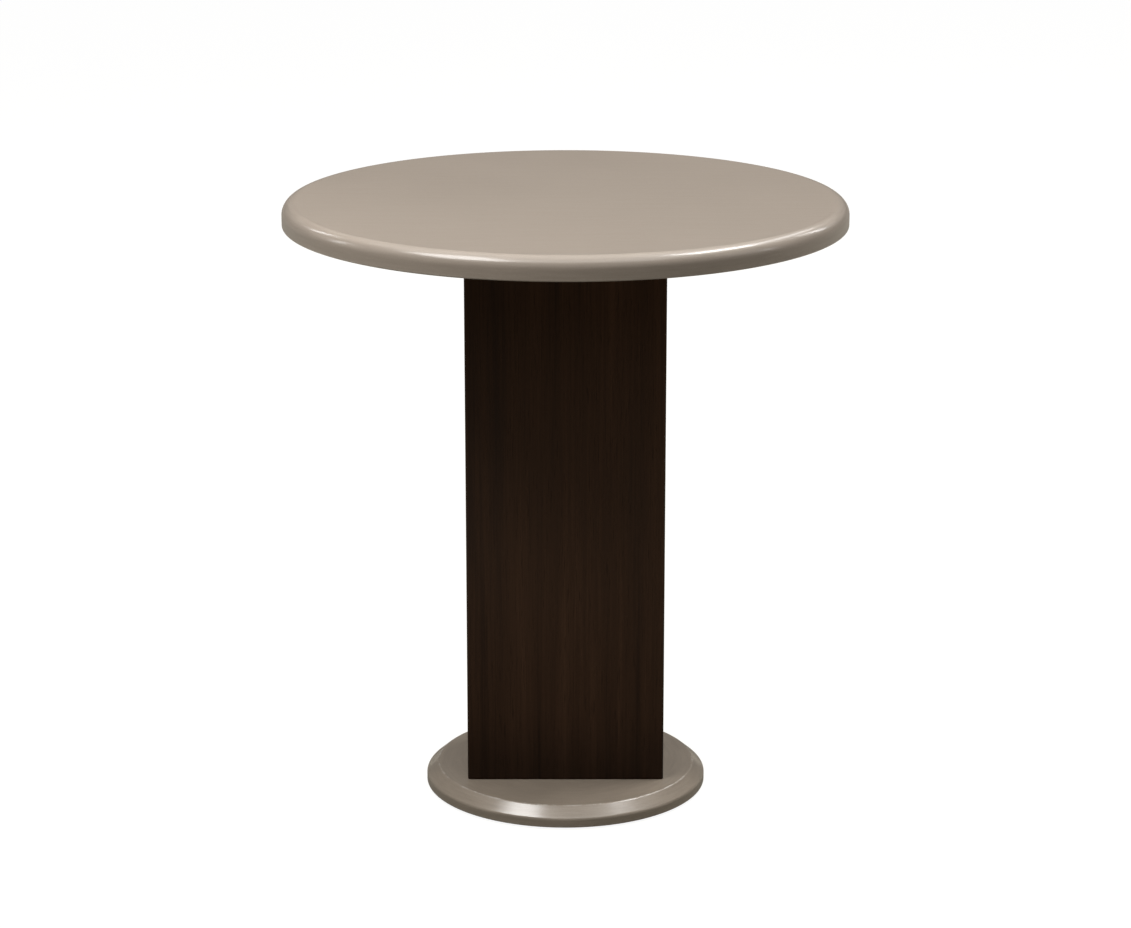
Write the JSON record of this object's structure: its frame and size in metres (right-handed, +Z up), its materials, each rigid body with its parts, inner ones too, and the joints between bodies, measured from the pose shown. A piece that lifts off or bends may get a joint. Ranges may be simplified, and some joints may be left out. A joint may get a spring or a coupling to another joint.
{
  "type": "side table",
  "caption": "Round side table: lacquered round-edged top on a rectangular veneered column, with a bevelled round base on levelling glides.",
  "frame": {"origin": "on the floor under the centre of the table, with the glides wound in", "axes": "+Z is up, the column's broad front looks along -Y, and +X is to the right seen from the front"},
  "size_m": [0.5588, 0.5588, 0.6096],
  "materials": {
    "taupe_lacquer": "satin metallic taupe lacquer on a fibreboard core",
    "taupe_lacquer_on_steel": "the same satin metallic taupe lacquer on steel",
    "espresso_veneer": "dark stained straight-grained veneer, satin",
    "plywood": "bare plywood and hardwood, sanded",
    "zinc_steel": "zinc-plated steel",
    "black_nylon": "moulded nylon"
  },
  "bodies": {
    "table": {"table_top": "taupe_lacquer", "top_plate": "zinc_steel", "top_plate_screw_1": "zinc_steel", "top_plate_screw_2": "zinc_steel", "top_plate_screw_3": "zinc_steel", "top_plate_screw_4": "zinc_steel", "top_plate_screw_5": "zinc_steel", "top_plate_screw_6": "zinc_steel", "top_plate_screw_7": "zinc_steel", "top_plate_screw_8": "zinc_steel", "top_plate_pin_1": "zinc_steel", "top_plate_pin_2": "zinc_steel", "rod_coupling_nut": "zinc_steel", "tie_rod": "zinc_steel", "tie_rod_washer": "zinc_steel", "tie_rod_nut": "zinc_steel", "column_front_panel": "espresso_veneer", "column_back_panel": "espresso_veneer", "column_left_panel": "espresso_veneer", "column_right_panel": "espresso_veneer", "corner_block_1": "plywood", "corner_block_2": "plywood", "corner_block_3": "plywood", "corner_block_4": "plywood", "upper_block": "plywood", "lower_block": "plywood", "base_disc": "taupe_lacquer_on_steel", "base_pin_1": "zinc_steel", "base_pin_2": "zinc_steel"},
    "foot_1": {"glide_foot_1": "black_nylon"},
    "foot_2": {"glide_foot_2": "black_nylon"},
    "foot_3": {"glide_foot_3": "black_nylon"},
    "foot_4": {"glide_foot_4": "black_nylon"},
    "stud_1": {"glide_stud_1": "zinc_steel"},
    "stud_2": {"glide_stud_2": "zinc_steel"},
    "stud_3": {"glide_stud_3": "zinc_steel"},
    "stud_4": {"glide_stud_4": "zinc_steel"}
  },
  "joints": [
    {"name": "glide_1_travel", "type": "slide", "parent": "table", "child": "foot_1", "axis": [0, 0, -1], "range_m": [0, 0.00375]},
    {"name": "glide_2_travel", "type": "slide", "parent": "table", "child": "foot_2", "axis": [0, 0, -1], "range_m": [0, 0.00375]},
    {"name": "glide_3_travel", "type": "slide", "parent": "table", "child": "foot_3", "axis": [0, 0, -1], "range_m": [0, 0.00375]},
    {"name": "glide_4_travel", "type": "slide", "parent": "table", "child": "foot_4", "axis": [0, 0, -1], "range_m": [0, 0.00375]},
    {"name": "glide_1_turn", "type": "hinge", "parent": "foot_1", "child": "stud_1", "pos_m": [0.08337, 0.08337, 0], "axis": [0, 0, -1], "range_deg": [0, 1080]},
    {"name": "glide_2_turn", "type": "hinge", "parent": "foot_2", "child": "stud_2", "pos_m": [-0.08337, 0.08337, 0], "axis": [0, 0, -1], "range_deg": [0, 1080]},
    {"name": "glide_3_turn", "type": "hinge", "parent": "foot_3", "child": "stud_3", "pos_m": [-0.08337, -0.08337, 0], "axis": [0, 0, -1], "range_deg": [0, 1080]},
    {"name": "glide_4_turn", "type": "hinge", "parent": "foot_4", "child": "stud_4", "pos_m": [0.08337, -0.08337, 0], "axis": [0, 0, -1], "range_deg": [0, 1080]}
  ],
  "couplings": [
    {"joint": "glide_1_travel", "follows": "glide_1_turn", "m_per_rad": 0.00019894},
    {"joint": "glide_2_travel", "follows": "glide_2_turn", "m_per_rad": 0.00019894},
    {"joint": "glide_3_travel", "follows": "glide_3_turn", "m_per_rad": 0.00019894},
    {"joint": "glide_4_travel", "follows": "glide_4_turn", "m_per_rad": 0.00019894}
  ]
}
